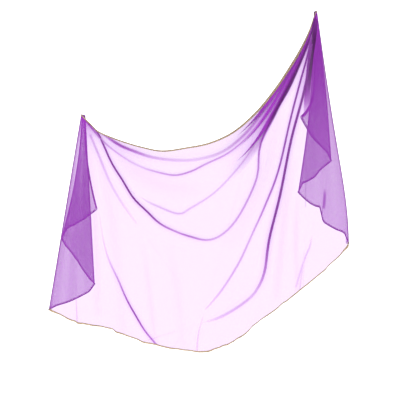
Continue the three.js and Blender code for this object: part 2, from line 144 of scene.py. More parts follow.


# %% [markdown]
# ## The creases of the span
# Between the hands the cloth hangs in swags, and tight strands run down from each grip. Each crease is a path
# over the cloth with a strength at each point. It lifts the cloth twice: in a broad soft ridge, and in a fine
# one on its crest. Drawing the creases in the finish alone would look flat from the side. Along the crest the
# chiffon doubles up and is drawn more opaque, and its colour is darkened as painted shade in the crease, in a
# line thinner than the squares of the mesh. So each point keeps its
# distance from each crease, which side it is on as a sign, and the finish turns the distances into fine lines.

# %% The crease table
CREASE_COLUMNS = ("name", "foot", "depth", "line", "core", "path")
CREASES = [
    ("swag under the top edge", 0.046, 0.030, 0.011, 0.20, [
        (-1.155, -0.550, 0.80), (-1.075, -0.615, 0.50), (-0.990, -0.675, 0.75), (-0.910, -0.710, 0.62),
        (-0.820, -0.740, 0.34), (-0.705, -0.755, 0.24), (-0.590, -0.750, 0.20), (-0.465, -0.710, 0.30),
        (-0.345, -0.610, 0.45), (-0.235, -0.460, 0.50), (-0.130, -0.295, 0.50), (-0.045, -0.125, 0.60)]),
    ("second swag", 0.046, 0.034, 0.006, 0.35, [
        (-1.150, -0.560, 0.80), (-1.060, -0.665, 0.40), (-0.955, -0.745, 0.26), (-0.870, -0.790, 0.22),
        (-0.790, -0.815, 0.38), (-0.705, -0.830, 0.45), (-0.625, -0.810, 0.48), (-0.555, -0.775, 0.42),
        (-0.435, -0.715, 0.40), (-0.325, -0.615, 0.45), (-0.210, -0.455, 0.50), (-0.115, -0.305, 0.50),
        (-0.035, -0.135, 0.60)]),
    ("deep swag", 0.046, 0.038, 0.0062, 0.45, [
        (-1.150, -0.555, 0.80), (-1.092, -0.618, 0.85), (-1.024, -0.764, 0.88), (-0.968, -0.853, 0.90),
        (-0.913, -0.942, 0.92), (-0.846, -1.008, 0.88), (-0.780, -1.069, 0.72), (-0.702, -1.108, 0.50),
        (-0.636, -1.131, 0.62), (-0.552, -1.150, 0.40), (-0.482, -1.128, 0.35), (-0.412, -1.062, 0.38),
        (-0.347, -0.952, 0.42), (-0.298, -0.828, 0.50), (-0.285, -0.685, 0.70), (-0.218, -0.535, 0.90),
        (-0.140, -0.400, 0.95), (-0.080, -0.265, 0.95), (-0.030, -0.145, 0.80)]),
    ("shallow swag", 0.050, 0.014, 0.006, 0.25, [
        (-0.890, -0.930, 0.00), (-0.845, -0.958, 0.12), (-0.800, -0.980, 0.25), (-0.690, -1.020, 0.30),
        (-0.625, -0.990, 0.25), (-0.510, -0.915, 0.22), (-0.395, -0.795, 0.26), (-0.315, -0.685, 0.28)]),
    ("first strand from the high grip", 0.040, 0.026, 0.0058, 0.55, [
        (-0.030, -0.165, 0.84), (-0.055, -0.265, 0.86), (-0.085, -0.370, 0.86), (-0.135, -0.560, 0.82),
        (-0.195, -0.810, 0.74), (-0.265, -0.990, 0.55), (-0.320, -1.110, 0.34), (-0.390, -1.260, 0.32),
        (-0.475, -1.395, 0.26), (-0.550, -1.485, 0.08)]),
    ("second strand from the high grip", 0.040, 0.030, 0.0080, 0.55, [
        (-0.020, -0.175, 0.88), (-0.040, -0.295, 0.90), (-0.070, -0.435, 0.89), (-0.130, -0.655, 0.88),
        (-0.185, -0.925, 0.88), (-0.240, -1.145, 0.84), (-0.265, -1.310, 0.56), (-0.310, -1.405, 0.30),
        (-0.375, -1.465, 0.30), (-0.475, -1.525, 0.22), (-0.545, -1.550, 0.06)]),
    ("fold from the low grip", 0.050, 0.028, 0.0056, 0.45, [
        (-1.125, -0.705, 0.00), (-1.090, -0.975, 0.00), (-1.050, -1.205, 0.14), (-0.985, -1.355, 0.46),
        (-0.945, -1.445, 0.70), (-0.900, -1.525, 0.80), (-0.852, -1.602, 0.66), (-0.786, -1.680, 0.52)]),
    ("shallow fold from the low grip", 0.052, 0.020, 0.009, 0.15, [
        (-1.130, -0.630, 0.30), (-1.085, -0.735, 0.28), (-1.030, -0.865, 0.20), (-0.965, -0.975, 0.14),
        (-0.900, -1.065, 0.05)]),
    ("bundle beside the falling end", 0.030, 0.016, 0.019, 0.62, [
        (-0.006, -0.060, 0.90), (-0.016, -0.150, 1.00), (-0.029, -0.235, 1.00), (-0.037, -0.310, 0.98),
        (-0.043, -0.372, 0.90), (-0.047, -0.425, 0.74), (-0.049, -0.470, 0.58), (-0.050, -0.515, 0.28),
        (-0.051, -0.570, 0.00)]),
    ("faint fold at the high side", 0.030, 0.010, 0.007, 0.20, [
        (-0.025, -1.125, 0.00), (-0.035, -1.180, 0.15), (-0.060, -1.240, 0.22), (-0.080, -1.300, 0.20),
        (-0.105, -1.380, 0.12)]),
    ("short fold at the hem, low side", 0.042, 0.022, 0.006, 0.20, [
        (-1.200, -1.330, 0.00), (-1.200, -1.450, 0.10), (-1.195, -1.580, 0.18)]),
    ("short fold at the hem, middle", 0.048, 0.022, 0.006, 0.20, [
        (-0.560, -1.500, 0.00), (-0.590, -1.610, 0.12), (-0.600, -1.730, 0.16)]),
    ("short fold at the hem, high side", 0.046, 0.020, 0.006, 0.20, [
        (-0.060, -1.200, 0.00), (-0.075, -1.310, 0.10), (-0.090, -1.420, 0.15)]),
]

# Long soft folds have no crest line. They only thicken the cloth along their path: width, share and path.
SOFT_FOLDS = [
    (0.018, 0.07, [
        (-1.150, -0.620, 0.6), (-1.118, -0.900, 1.0), (-1.100, -1.200, 0.8), (-1.092, -1.520, 0.5)]),
    (0.026, 0.035, [
        (-1.100, -0.700, 0.5), (-1.030, -1.000, 1.0), (-0.990, -1.300, 0.8), (-0.965, -1.600, 0.7)]),
    (0.014, 0.045, [
        (-0.872, -1.140, 0.0), (-0.846, -1.310, 0.8), (-0.820, -1.520, 1.0), (-0.806, -1.640, 0.8)]),
    (0.022, 0.03, [
        (-0.730, -1.180, 0.2), (-0.700, -1.380, 1.0), (-0.676, -1.560, 0.8), (-0.660, -1.680, 0.6)]),
    (0.020, 0.06, [
        (-0.120, -0.760, 0.3), (-0.160, -1.000, 1.0), (-0.186, -1.240, 0.9), (-0.205, -1.420, 0.6)]),
    (0.014, 0.06, [
        (-0.095, -0.930, 0.3), (-0.106, -1.110, 1.0), (-0.104, -1.260, 0.8), (-0.096, -1.390, 0.7)]),
    (0.045, 0.06, [
        (-1.010, -0.690, 0.8), (-0.900, -0.800, 1.0), (-0.760, -0.880, 0.7), (-0.620, -0.900, 0.4)]),
    (0.040, 0.05, [
        (-0.205, -0.560, 0.6), (-0.250, -0.780, 1.0), (-0.330, -0.980, 0.7), (-0.420, -1.150, 0.4)]),
]
CREASE_FADE = 0.16          # length over which a crease rises at its two ends
CREASE_PINCH = 0.55         # its width at the ends, as a share of the full width
CREASE_OPENS = 0.45         # distance from its ends at which it has its full width
CREASE_HEIGHT = 0.005       # height of the fine ridge at full strength
CREASE_SHADE = 0.22         # how far the cloth beside a crease is gathered, at full strength
CREASE_REACH = 2.2          # how far from the line it is gathered, in line widths
DISTANCE_KEPT = 0.05        # distances beyond this are all alike
SIDE_CLEAR = 0.07           # share of the span at each side that the broad ridges stay out of
PATH_SAMPLES = 60


def crease_effect(crease, x, z):
    """What one crease gives at each place: broad lift, fine lift, signed distance and strength."""
    _, foot, depth, line, _, path = crease
    xs, zs, strengths = zip(*path)
    t = np.linspace(0, 1, PATH_SAMPLES + 1)
    px, pz, strength = along(xs, t), along(zs, t), along(strengths, t)
    length = np.concatenate([[0], np.cumsum(np.hypot(np.diff(px), np.diff(pz)))])
    nearest = np.full(x.shape, np.inf)
    signed = np.zeros(x.shape)
    at = np.zeros(x.shape)
    power = np.zeros(x.shape)
    for i in range(PATH_SAMPLES):
        dx, dz = px[i + 1] - px[i], pz[i + 1] - pz[i]
        share = np.clip(((x - px[i]) * dx + (z - pz[i]) * dz) / (dx * dx + dz * dz), 0, 1)
        distance = np.hypot(x - px[i] - dx * share, z - pz[i] - dz * share)
        closer = distance < nearest
        nearest = np.where(closer, distance, nearest)
        signed = np.where(closer, np.copysign(distance, (x - px[i]) * dz - (z - pz[i]) * dx), signed)
        at = np.where(closer, mix(length[i], length[i + 1], share), at)
        power = np.where(closer, mix(strength[i], strength[i + 1], share), power)
    from_end = np.minimum(at, length[-1] - at)
    ends = smooth(0, CREASE_FADE, at) * smooth(0, CREASE_FADE, length[-1] - at)
    spread = mix(CREASE_PINCH, 1, smooth(0, CREASE_OPENS, from_end))
    broad = depth * ends * bell(nearest, foot * spread)
    power = np.clip(power, 0, 1)
    return broad, CREASE_HEIGHT * power * bell(nearest, line), signed, power


def crease_values(distances, strength):
    """The signed distances by threes, as a mesh stores a vector, and the strength of the nearest crease."""
    threes = math.ceil(len(CREASES) / 3)
    kept = [np.clip(distance, -DISTANCE_KEPT, DISTANCE_KEPT) for distance in distances]
    kept += [np.full(strength.shape, DISTANCE_KEPT)] * (3 * threes - len(kept))
    values = {f"crease_distance_{i}": np.stack(kept[3 * i:3 * i + 3], axis=-1) for i in range(threes)}
    return {**values, "crease_strength": strength}


print(len(CREASES), "creases")

# %% [markdown]
# ## Pleats beside the raised arm
# Between the top edge and the deep swag the cloth is squeezed together as it climbs to the higher grip. It lies
# there in three flat tucks, one over the other. A tuck is made by letting the distance down the section run
# back on itself for a short way, while the cloth steps away from the viewer.

# %% The pleated band
BAND_WIDTH = (0, 0, 0, 0, 0, 0, 0, 0, 0, 0.06, 0.15, 0.20, 0.205, 0.178, 0.134, 0.097, 0.070, 0.050,
              0.03, 0.02)
BAND_TUCK = (0, 0, 0, 0, 0, 0, 0, 0, 0, 0, 0.3, 1.0, 2.4, 4.2, 4.8, 5.0, 5.0, 4.4, 3.0, 0)
BAND_DENSITY = (0, 0, 0, 0, 0, 0, 0, 0, 0, 0, 0, 0.06, 0.34, 0.86, 1, 1, 1, 1, 1, 1)
TUCK_PLACES = (0.2, 0.5, 0.8)   # centres of the tucks, as shares of the band
# A painted sheen: a lighter, more see-through stripe along the band, with less shade.
SHEEN_STRIPE_PLACE = 0.46
SHEEN_STRIPE_WIDTH = 0.15
BAND_LOWER = (0.62, 0.80)       # where the painted shade of the darker lower part starts, as shares of the band
BAND_END = (0.95, 1.02)         # where the band ends, as shares of the band
BAND_END_SOFT = 0.25            # how much further it runs out where the cloth is open
BAND_DENSE = (0.45, 0.95)       # the gather at which it starts to darken, and at which it is darkest
BAND_GATHER, LOWER_GATHER, SHEEN_STRIPE_GATHER = 0.78, 0.16, -0.06
BAND_SHADE, LOWER_SHADE = 0.34, 0.50
NARROWEST_BAND = 0.004
TUCK_WIDTH = 0.14
TUCK_DEPTH = 0.35
TUCK_STEP, TUCK_SPREAD = 0.5, 2.2   # how sharp and how wide the step back is, in tuck widths
FULL_TUCK = 3                   # the tuck at which the step back is whole


def tucked(down, u):
    """The place down a section after the tucks, how far they push it back, and how gathered it is there."""
    band = np.maximum(along(BAND_WIDTH, u), NARROWEST_BAND)
    tuck = np.maximum(along(BAND_TUCK, u), 0)
    width = TUCK_WIDTH * band
    shift = np.zeros(down.shape)
    at_edge = np.zeros(down.shape)
    back = np.zeros(down.shape)
    for place in TUCK_PLACES:
        q = down - place * band
        shift += tuck * q * bell(q, width)
        at_edge += -tuck * place * band * bell(place * band, width)
        back += TUCK_DEPTH * width * np.tanh(q / (TUCK_STEP * width)) * bell(q, TUCK_SPREAD * width)
    moved = down - shift + at_edge * (1 - smooth(0, 1, down / band))
    back = back * np.clip(tuck / FULL_TUCK, 0, 1)
    return moved, back, moved / band, np.clip(along(BAND_DENSITY, u), 0, 1)


def band_look(across, gathered):
    """How opaque and how deep in colour the band is, with a painted sheen stripe along it and painted shade on
    its darker lower part.
    """
    end = BAND_END[1] + BAND_END_SOFT * (1 - gathered)
    inside = (1 - smooth(BAND_END[0], end, across)) * gathered
    stripe = bell(across - SHEEN_STRIPE_PLACE, SHEEN_STRIPE_WIDTH)
    lower = smooth(*BAND_LOWER, across)
    gather = inside * (BAND_GATHER + LOWER_GATHER * lower + SHEEN_STRIPE_GATHER * stripe)
    return gather, smooth(*BAND_DENSE, inside) * (BAND_SHADE * (1 - stripe) + LOWER_SHADE * lower)


print("the widest band is", max(BAND_WIDTH), "m")

# %% [markdown]
# ## The span as a surface
# One function gives a point of the span for any place along it and down it. The sheet, its edge braid and its
# stitches all come from this function, so they can't part from each other.

# %% The span's function
def side_section(ray, side):
    grip_x, grip_z, end_x, end_z, *_ = ray
    length = math.hypot(end_x - grip_x, end_z - grip_z)
    return (grip_x - side * layer_gap(0) / 2, grip_z, 0,
            end_x - side * layer_gap(length) / 2, end_z, 0, 0)


sections = [side_section(LOW_RAYS[0], LOW_SIDE), *SECTIONS, side_section(HIGH_RAYS[0], HIGH_SIDE)]
section_table = {name: [row[i] for row in sections] for i, name in enumerate(SECTION_COLUMNS)}
GRIP_GATHER = 0.5
GRIP_REACH = 0.10
SHADED_GATHER = (0.66, 0.90)    # the gather at which the band's shade starts to show, and shows whole

# Low down, the outermost fold at the higher side stands out a little beyond a straight line.
SIDE_BELLY = 0.014
SIDE_BELLY_SKEW = 3
SIDE_BELLY_START = 0.93


def side_belly(r):
    """How far the outermost fold stands out, at the shares r of the way from the hand."""
    return SIDE_BELLY * np.sin(math.pi * np.clip(r, 0, 1) ** SIDE_BELLY_SKEW)


# The bottom edge is light and flutters in short uneven waves, which die out up the cloth.
FLUTTER_WAVES = ((0.37, 0.45, 0.1), (0.223, 0.30, 0.6), (0.131, 0.18, 0.3), (0.083, 0.10, 0.8))
FLUTTER_RUN = 2.1
FLUTTER_DEPTH = 0.012
FLUTTER_REACH = 0.20
FLUTTER_RISE = 0.006
FLUTTER_EDGE = 0.035
NOTCH_REACH = 3.0               # how far a notch reaches, in its own widths
NOTCHES = ((-1.199, 0.006, 0.004), (-1.008, 0.009, 0.007), (-0.880, 0.012, 0.003), (-0.655, 0.014, -0.003),
           (-0.455, 0.010, 0.004), (-0.330, 0.008, -0.003), (-0.165, 0.010, 0.004), (0.050, 0.009, -0.003))

# The two lower corners flare a little: place along the span, width, and how far to the right and up.
CORNERS = ((0.990, 0.020, 0.018, -0.007), (0.010, 0.020, -0.014, -0.006))
CORNER_REACH = 0.020


def flutter(u):
    """The height, from about -1 to 1, of the waves along the bottom edge."""
    return sum(share * np.sin(2 * math.pi * (u * FLUTTER_RUN / length + phase))
               for length, share, phase in FLUTTER_WAVES)


def span_surface(u, down):
    """The span at u from 0 to 1 along it and down in metres from the top edge: points and values."""
    column = {name: along(values, u) for name, values in section_table.items()}
    drop = np.hypot(column["top_x"] - column["hem_x"], column["top_z"] - column["hem_z"])
    moved, back, across_band, gathered = tucked(down, u)
    band_gather, band_shade = band_look(across_band, gathered)
    v = moved / drop
    x = mix(column["top_x"], column["hem_x"], v)
    z = mix(column["top_z"], column["hem_z"], v)
    inside = np.clip(v, 0, 1)
    bow = mix(column["top_front"], column["hem_front"], inside) + column["belly"] * np.sin(math.pi * inside)
    clear = smooth(0, SIDE_CLEAR, u) * smooth(0, SIDE_CLEAR, 1 - u)
    cubes, fine, open_cloth = np.zeros(x.shape), np.zeros(x.shape), np.ones(x.shape)
    distances, strength, nearest = [], np.zeros(x.shape), np.full(x.shape, np.inf)
    for crease in CREASES:
        broad, height, signed, power = crease_effect(crease, x, z)
        cubes += broad ** 3
        fine = np.maximum(fine, height)
        line = crease[CREASE_COLUMNS.index("line")]
        open_cloth *= 1 - CREASE_SHADE * power * bell(signed, CREASE_REACH * line)
        distances.append(signed)
        closer = np.abs(signed) < nearest
        nearest = np.where(closer, np.abs(signed), nearest)
        strength = np.where(closer, power, strength)
    for grip_x, grip_z in (HIGH_GRIP, LOW_GRIP):
        open_cloth *= 1 - GRIP_GATHER * bell(np.hypot(x - grip_x, z - grip_z), GRIP_REACH)
    for foot, share, path in SOFT_FOLDS:
        _, _, signed, power = crease_effect(("", foot, 0, foot, 0, path), x, z)
        open_cloth *= 1 - share * power * bell(signed, foot)
    open_cloth *= 1 - band_gather
    y = back - bow - (np.cbrt(cubes) + fine) * clear
    wave = flutter(u)
    y = y - FLUTTER_DEPTH * wave * np.exp(-(drop - down) / FLUTTER_REACH) * clear
    x = x + side_belly(v) * smooth(SIDE_BELLY_START, 1, u)
    for place, width, run, rise in CORNERS:
        corner = bell(u - place, width) * np.exp(-(drop - down) / CORNER_REACH)
        x = x + run * corner
        z = z + rise * corner
    for place, width, height in NOTCHES:
        q = (x - place) / width
        z = z - height * np.tanh(q) * bell(q, NOTCH_REACH) * np.exp(-(drop - down) / FLUTTER_EDGE)
    z = z + FLUTTER_RISE * wave * np.exp(-(drop - down) / FLUTTER_EDGE)
    shade = band_shade * smooth(*SHADED_GATHER, 1 - open_cloth)
    values = {"gather": 1 - open_cloth, "shade": shade, "fold": np.zeros(x.shape),
              "from_edge": np.minimum(down, drop - down)}
    return np.stack([x, y, z], axis=-1), {**values, **crease_values(distances, strength)}


def span_drop(u):
    """The length of the section at u, from the top edge to the bottom edge."""
    column = {name: along(section_table[name], u) for name in ("top_x", "top_z", "hem_x", "hem_z")}
    return np.hypot(column["top_x"] - column["hem_x"], column["top_z"] - column["hem_z"])


print("the longest section is", round(float(span_drop(np.linspace(0, 1, 200)).max()), 3), "m")

# %% [markdown]
# ## The falling ends as surfaces
# Beyond each grip the rest of the cloth falls from the hand and folds to and fro, so three layers lie behind
# the span. A fold is half a turn of a small circle, whose size grows with the distance from the hand.

# %% The falls' function
FOLD_STEPS = 12
PANEL_STEPS = 30
FALL_RIPPLE = 0.005
RIPPLE_WAVES, RIPPLE_SLANT = 34, 5
WIDTH_AT_GRIP = 0.004
FALL_STREAK = {HIGH_SIDE: 0.10, LOW_SIDE: 0.19}
FOLD_GATHER = 0.85
FOLD_SHADE_WIDTH = 0.0048
FALL_GRIP_GATHER = {HIGH_SIDE: 0.68, LOW_SIDE: -0.26}
FALL_GRIP_SHADE = {HIGH_SIDE: 0.60, LOW_SIDE: 0.0}
FALL_GRIP_REACH = 0.32


# A short tuck in the first layer of the higher end, and how the layers' soft streaks differ.
SHORT_TUCK = ("short tuck", 0.020, 0.006, 0.012, 0.2, [
    (0.0425, -0.895, 0.0), (0.0420, -0.925, 0.5), (0.0405, -0.955, 0.6), (0.0380, -0.990, 0.5)])
STREAKS_PER_LAYER = (2.3, 1.6, 2.1)
STREAK_PHASES = (0.15, 0.55, 0.8)


def ray_x(ray, r):
    """Where a fold line is, at the shares r of the way from the hand."""
    grip_x, _, end_x, _, bow, flare, _ = ray
    belly = side_belly(r) if ray is HIGH_RAYS[0] else 0
    return mix(grip_x, end_x, r ** flare) + bow * np.sin(math.pi * r) + belly


def fall_steps(rays):
    """The steps across a falling end, each a layer, whether it is on a fold, and how far across it is."""
    steps = []
    for layer in range(len(rays) - 1):
        steps += [(layer, True, i / FOLD_STEPS) for i in range(FOLD_STEPS)]
        steps += [(layer, False, i / PANEL_STEPS) for i in range(PANEL_STEPS)]
    return steps + [(len(rays) - 2, False, 1.0)]


def fold_share(rays, layer, ray):
    """How much of a layer's width the round of one of its folds takes up at the end hem."""
    length = math.hypot(ray[2] - ray[0], ray[3] - ray[1])
    return layer_gap(length) / 2 / abs(rays[layer + 1][2] - rays[layer][2])


def layer_hem(rays, layer, across):
    """The height of the end hem at a share of the way across a layer."""
    drops = rays[layer][-1]
    return mix(rays[layer][3], rays[layer + 1][3], across) - float(along(drops, np.array(float(across))))


def hem_height(rays, step):
    """The height of the end hem at one step. Round a fold the hem runs out to the fold's tip and back."""
    layer, is_fold, t = step
    ray = rays[layer]
    near = fold_share(rays, layer, ray)
    if not is_fold:
        far = 0 if layer == len(rays) - 2 else fold_share(rays, layer, rays[layer + 1])
        return layer_hem(rays, layer, mix(near, 1 - far, t))
    start = ray[3]
    if t > 0.5:
        start = layer_hem(rays, layer, near)
    elif layer > 0:
        start = layer_hem(rays, layer - 1, 1 - fold_share(rays, layer - 1, ray))
    return mix(start, ray[3], math.sin(math.pi * t))


def fall_column(rays, side, step, r):
    """The points and gather down one step of a falling end, at the shares r of the way from the hand."""
    layer, is_fold, t = step
    grip_x, grip_z, end_x = rays[layer][:3]
    to_grip_x, to_grip_z, to_end_x = rays[layer + 1][:3]
    across = 0 if is_fold else t
    far_x = mix(end_x, to_end_x, across)
    far_z = hem_height(rays, step)
    near_x, near_z = mix(grip_x, to_grip_x, across), mix(grip_z, to_grip_z, across)
    gap = layer_gap(r * math.hypot(far_x - near_x, far_z - near_z))
    outward = side if layer % 2 == 0 else -side
    is_free = layer == len(rays) - 2
    x = mix(ray_x(rays[layer], r), ray_x(rays[layer + 1], r), across)
    x = x - outward * gap * (1 - across) / 2
    x = x + (0 if is_free else outward * gap * across / 2)
    y = gap * (layer + 1) + LAYER_BILLOW * r * math.sin(math.pi * across)
    y = y + FALL_RIPPLE * r * np.sin(RIPPLE_WAVES * x + RIPPLE_SLANT * r) * math.sin(math.pi * across)
    width = abs(to_end_x - end_x) * r + WIDTH_AT_GRIP
    from_fold = np.minimum(across, 2 if is_free else 1 - across) * width + gap / 2
    if is_fold:
        turn = math.pi * t
        x = x + outward * (gap / 2) * math.sin(turn)
        y = y - (gap / 2) * (1 + math.cos(turn))
        from_fold = (gap / 2) * (1 - math.sin(turn))
    fold = bell(from_fold, FOLD_SHADE_WIDTH)
    gather = FOLD_GATHER * fold
    z = mix(near_z, far_z, r)
    streak = math.sin(2 * math.pi * (across * STREAKS_PER_LAYER[layer] + STREAK_PHASES[layer]))
    gather = gather + FALL_STREAK[side] * (0.5 + 0.5 * streak) * (1 - 0.5 * r)
    from_grip = np.hypot(x - near_x, z - near_z)
    gather = 1 - (1 - gather) * (1 - FALL_GRIP_GATHER[side] * bell(from_grip, FALL_GRIP_REACH))
    to_hem = (1 - r) * math.hypot(far_x - near_x, far_z - near_z)
    to_free_edge = (1 - across) * width if is_free and not is_fold else np.full(r.shape, np.inf)
    distance, strength = np.full(r.shape, DISTANCE_KEPT), np.zeros(r.shape)
    if side == HIGH_SIDE and layer == 0 and not is_fold:
        _, lift, distance, strength = crease_effect(SHORT_TUCK, x, z)
        y = y - lift
    shade = FALL_GRIP_SHADE[side] * bell(from_grip, FALL_GRIP_REACH)
    values = {"gather": gather, "shade": shade, "fold": fold, "from_edge": np.minimum(to_hem, to_free_edge)}
    return np.stack([x, y, z], axis=-1), {**values, **crease_values([distance], strength)}


print(len(fall_steps(HIGH_RAYS)), "steps across each falling end")

# %% [markdown]
# ## Meshes from grids
# A sheet is a grid of points joined by squares. Its UV map holds the real length along and down the cloth, in
# metres, so that a weave drawn on it keeps one thread size everywhere, whatever the folds do.

# %% Grid tools
def lengths(points, axis):
    """The running length through a grid of points along one of its axes."""
    steps = np.linalg.norm(np.diff(points, axis=axis), axis=-1)
    start = np.zeros_like(np.take(steps, [0], axis=axis))
    return np.cumsum(np.concatenate([start, steps], axis=axis), axis=axis)


def unit(vectors):
    return vectors / np.maximum(np.linalg.norm(vectors, axis=-1, keepdims=True), 1e-12)


def points_at(places, run, points):
    """The points of a line at given lengths along it, where run is the length at each of its own points."""
    return np.stack([np.interp(places, run, points[:, k]) for k in range(3)], axis=-1)


def tube_faces(count, around):
    """The faces of a tube made of rings, with a cap at each end."""
    faces = []
    for i in range(count - 1):
        for j in range(around):
            a, b = i * around + j, i * around + (j + 1) % around
            faces.append((a, b, b + around, a + around))
    last = (count - 1) * around
    return faces + [tuple(range(around))[::-1], tuple(last + j for j in range(around))]


def mesh_piece(name, vertices, faces, uv, values=None):
    """A piece from its vertices and faces, with a UV pair and named values for each vertex."""
    mesh = bpy.data.meshes.new(name)
    mesh.from_pydata(vertices.reshape(-1, 3).tolist(), [], faces)
    layer = mesh.uv_layers.new(name="cloth")
    corners = np.empty(len(mesh.loops), dtype=np.int32)
    mesh.loops.foreach_get("vertex_index", corners)
    layer.data.foreach_set("uv", uv.reshape(-1, 2)[corners].astype(np.float32).ravel())
    for label, value in (values or {}).items():
        is_vector = value.size == 3 * len(mesh.vertices)
        attribute = mesh.attributes.new(label, "FLOAT_VECTOR" if is_vector else "FLOAT", "POINT")
        attribute.data.foreach_set("vector" if is_vector else "value", value.astype(np.float32).ravel())
    mesh.polygons.foreach_set("use_smooth", [True] * len(mesh.polygons))
    mesh.update()
    piece = bpy.data.objects.new(name, mesh)
    bpy.context.collection.objects.link(piece)
    return piece


def grid_faces(columns, rows, flipped=False):
    c, r = np.meshgrid(np.arange(columns - 1), np.arange(rows - 1), indexing="ij")
    a = (c * rows + r).ravel()
    order = (a, a + rows, a + rows + 1, a + 1) if flipped else (a, a + 1, a + rows + 1, a + rows)
    return np.stack(order, axis=-1).tolist()


def sheet_piece(name, points, values, flipped=False):
    uv = np.stack([lengths(points, 0), lengths(points, 1)], axis=-1)
    return mesh_piece(name, points, grid_faces(*points.shape[:2], flipped), uv, values)


def area(piece):
    return sum(face.area for face in piece.data.polygons)


# %% [markdown]
# ## The span
# The rows stand closer together near the top edge, where the tucks need them.

# %% Make the span
SPAN_COLUMNS = 380
BAND_ROWS = 96
OPEN_ROWS = 160
BAND_SHARE = 0.20

u = np.linspace(0, 1, SPAN_COLUMNS)
row_share = np.concatenate([np.linspace(0, BAND_SHARE, BAND_ROWS, endpoint=False),
                            np.linspace(BAND_SHARE, 1, OPEN_ROWS)])
u_grid, share_grid = np.meshgrid(u, row_share, indexing="ij")
span_points, span_values = span_surface(u_grid, share_grid * span_drop(u_grid))
veil_span = sheet_piece("veil_span", span_points, span_values)
print("span:", len(veil_span.data.polygons) * 2, "triangles,", round(area(veil_span), 2), "m2")

# %% Make the falling ends
FALL_ROWS = 170


def fall_grid(rays, side):
    r = np.linspace(0, 1, FALL_ROWS)
    columns = [fall_column(rays, side, step, r) for step in fall_steps(rays)]
    values = {label: np.stack([given[label] for _, given in columns]) for label in columns[0][1]}
    return np.stack([points for points, _ in columns]), values


high_points, high_values = fall_grid(HIGH_RAYS, HIGH_SIDE)
low_points, low_values = fall_grid(LOW_RAYS, LOW_SIDE)
veil_end_high = sheet_piece("veil_end_high", high_points, high_values)
veil_end_low = sheet_piece("veil_end_low", low_points, low_values, flipped=True)
for piece in (veil_end_high, veil_end_low):
    print(piece.name, len(piece.data.polygons) * 2, "triangles,", round(area(piece), 2), "m2")

# %% [markdown]
# ## Gold braid on the long edges
# The edging is a narrow metallic braid, sewn flat along the edge. It is a low crowned strip: five points across
# the cloth's own surface, moved out a little, with a thin floor under them.

# %% Make the braid
BRAID_PROFILE = (0.0, 0.75, 1.0, 0.75, 0.0)
BRAID_POINTS = len(BRAID_PROFILE)
WIDEST_BRAID = 0.5              # share of the last layer that its braid may cover near the hand


def toward_viewer(points, side=1):
    """The unit normal at each point of a grid, on the viewer's side."""
    across = np.gradient(points, axis=0)
    down = np.gradient(points, axis=1)
    normal = np.cross(down, across)
    return side * unit(normal)


def braid_piece(name, strip, side=1):
    """A crowned braid on a strip of the cloth: strip runs along the edge, then from its outer side inwards."""
    face = toward_viewer(strip, side)
    crown = np.array(BRAID_PROFILE)[None, :, None] * BRAID_CROWN
    top = strip + face * (BRAID_LIFT + crown)
    floor = (strip + face * (BRAID_LIFT - SEAM))[:, ::-1][:, [0, -1]]
    rings = np.concatenate([top, floor], axis=1)
    count, around = rings.shape[:2]
    run = lengths(rings, 0)[:, :1].repeat(around, axis=1)
    width = np.concatenate([lengths(top, 1), np.zeros((count, 2))], axis=1)
    piece = mesh_piece(name, rings, tube_faces(count, around), np.stack([run, width], axis=-1))
    outward_faces(piece)
    return piece


def outward_faces(piece):
    """Turns the faces of a closed piece outwards."""
    shell = bmesh.new()
    shell.from_mesh(piece.data)
    bmesh.ops.recalc_face_normals(shell, faces=shell.faces)
    shell.to_mesh(piece.data)
    shell.free()


BRAID_STEPS = 700
u_edge, inward = np.meshgrid(np.linspace(0, 1, BRAID_STEPS), np.linspace(0, BRAID_WIDTH, BRAID_POINTS),
                             indexing="ij")
top_strip, _ = span_surface(u_edge, inward)
bottom_strip, _ = span_surface(u_edge, span_drop(u_edge) - inward)
braid_top = braid_piece("braid_top", top_strip)
braid_bottom = braid_piece("braid_bottom", bottom_strip[:, ::-1])


def free_edge_strip(rays, side):
    """The strip along the free edge of a falling end, narrower close to the hand."""
    r = np.linspace(0, 1, FALL_ROWS)
    last = len(rays) - 2
    columns = []
    for j in range(BRAID_POINTS):
        points = []
        for share in r:
            width = abs(ray_x(rays[-1], share) - ray_x(rays[-2], share))
            t = 1 - min(BRAID_WIDTH / width, WIDEST_BRAID) * j / (BRAID_POINTS - 1)
            point, _ = fall_column(rays, side, (last, False, t), np.array([share]))
            points.append(point[0])
        columns.append(points)
    return np.array(columns).transpose(1, 0, 2)


braid_high_end = braid_piece("braid_high_end", free_edge_strip(HIGH_RAYS, HIGH_SIDE), 1)
braid_low_end = braid_piece("braid_low_end", free_edge_strip(LOW_RAYS, LOW_SIDE), -1)
braids = (braid_top, braid_bottom, braid_high_end, braid_low_end)
print("braid:", sum(len(braid.data.polygons) for braid in braids), "faces")

# %% [markdown]
# ## Stitches along the braid
# A zigzag of gold thread holds the inner side of the braid to the chiffon. The real one is a long thread from a
# machine, but only the short lengths on top show. So one of them is modelled, as a long bead that dips into the
# cloth at both ends, and copied along the edge.

# %% Model one stitch
STITCH_LENGTH = 0.0042
STITCH_RADIUS = 0.0004
STITCH_SPACING = 0.0060
STITCH_LEAN = math.radians(38)

bpy.ops.mesh.primitive_uv_sphere_add(segments=6, ring_count=5, radius=1)
stitch = bpy.context.object
bpy.ops.object.mode_set(mode="EDIT")
bpy.ops.mesh.select_all(action="SELECT")
bpy.ops.transform.rotate(value=math.pi / 2, orient_axis="Y", center_override=(0, 0, 0))
bpy.ops.transform.resize(value=(STITCH_LENGTH / 2, STITCH_RADIUS, STITCH_RADIUS), center_override=(0, 0, 0))
bpy.ops.object.mode_set(mode="OBJECT")
stitch_points = np.array([vertex.co[:] for vertex in stitch.data.vertices])
stitch_faces = sorted(tuple(face.vertices) for face in stitch.data.polygons)
bpy.data.objects.remove(stitch)
print("a stitch has", len(stitch_faces), "faces")


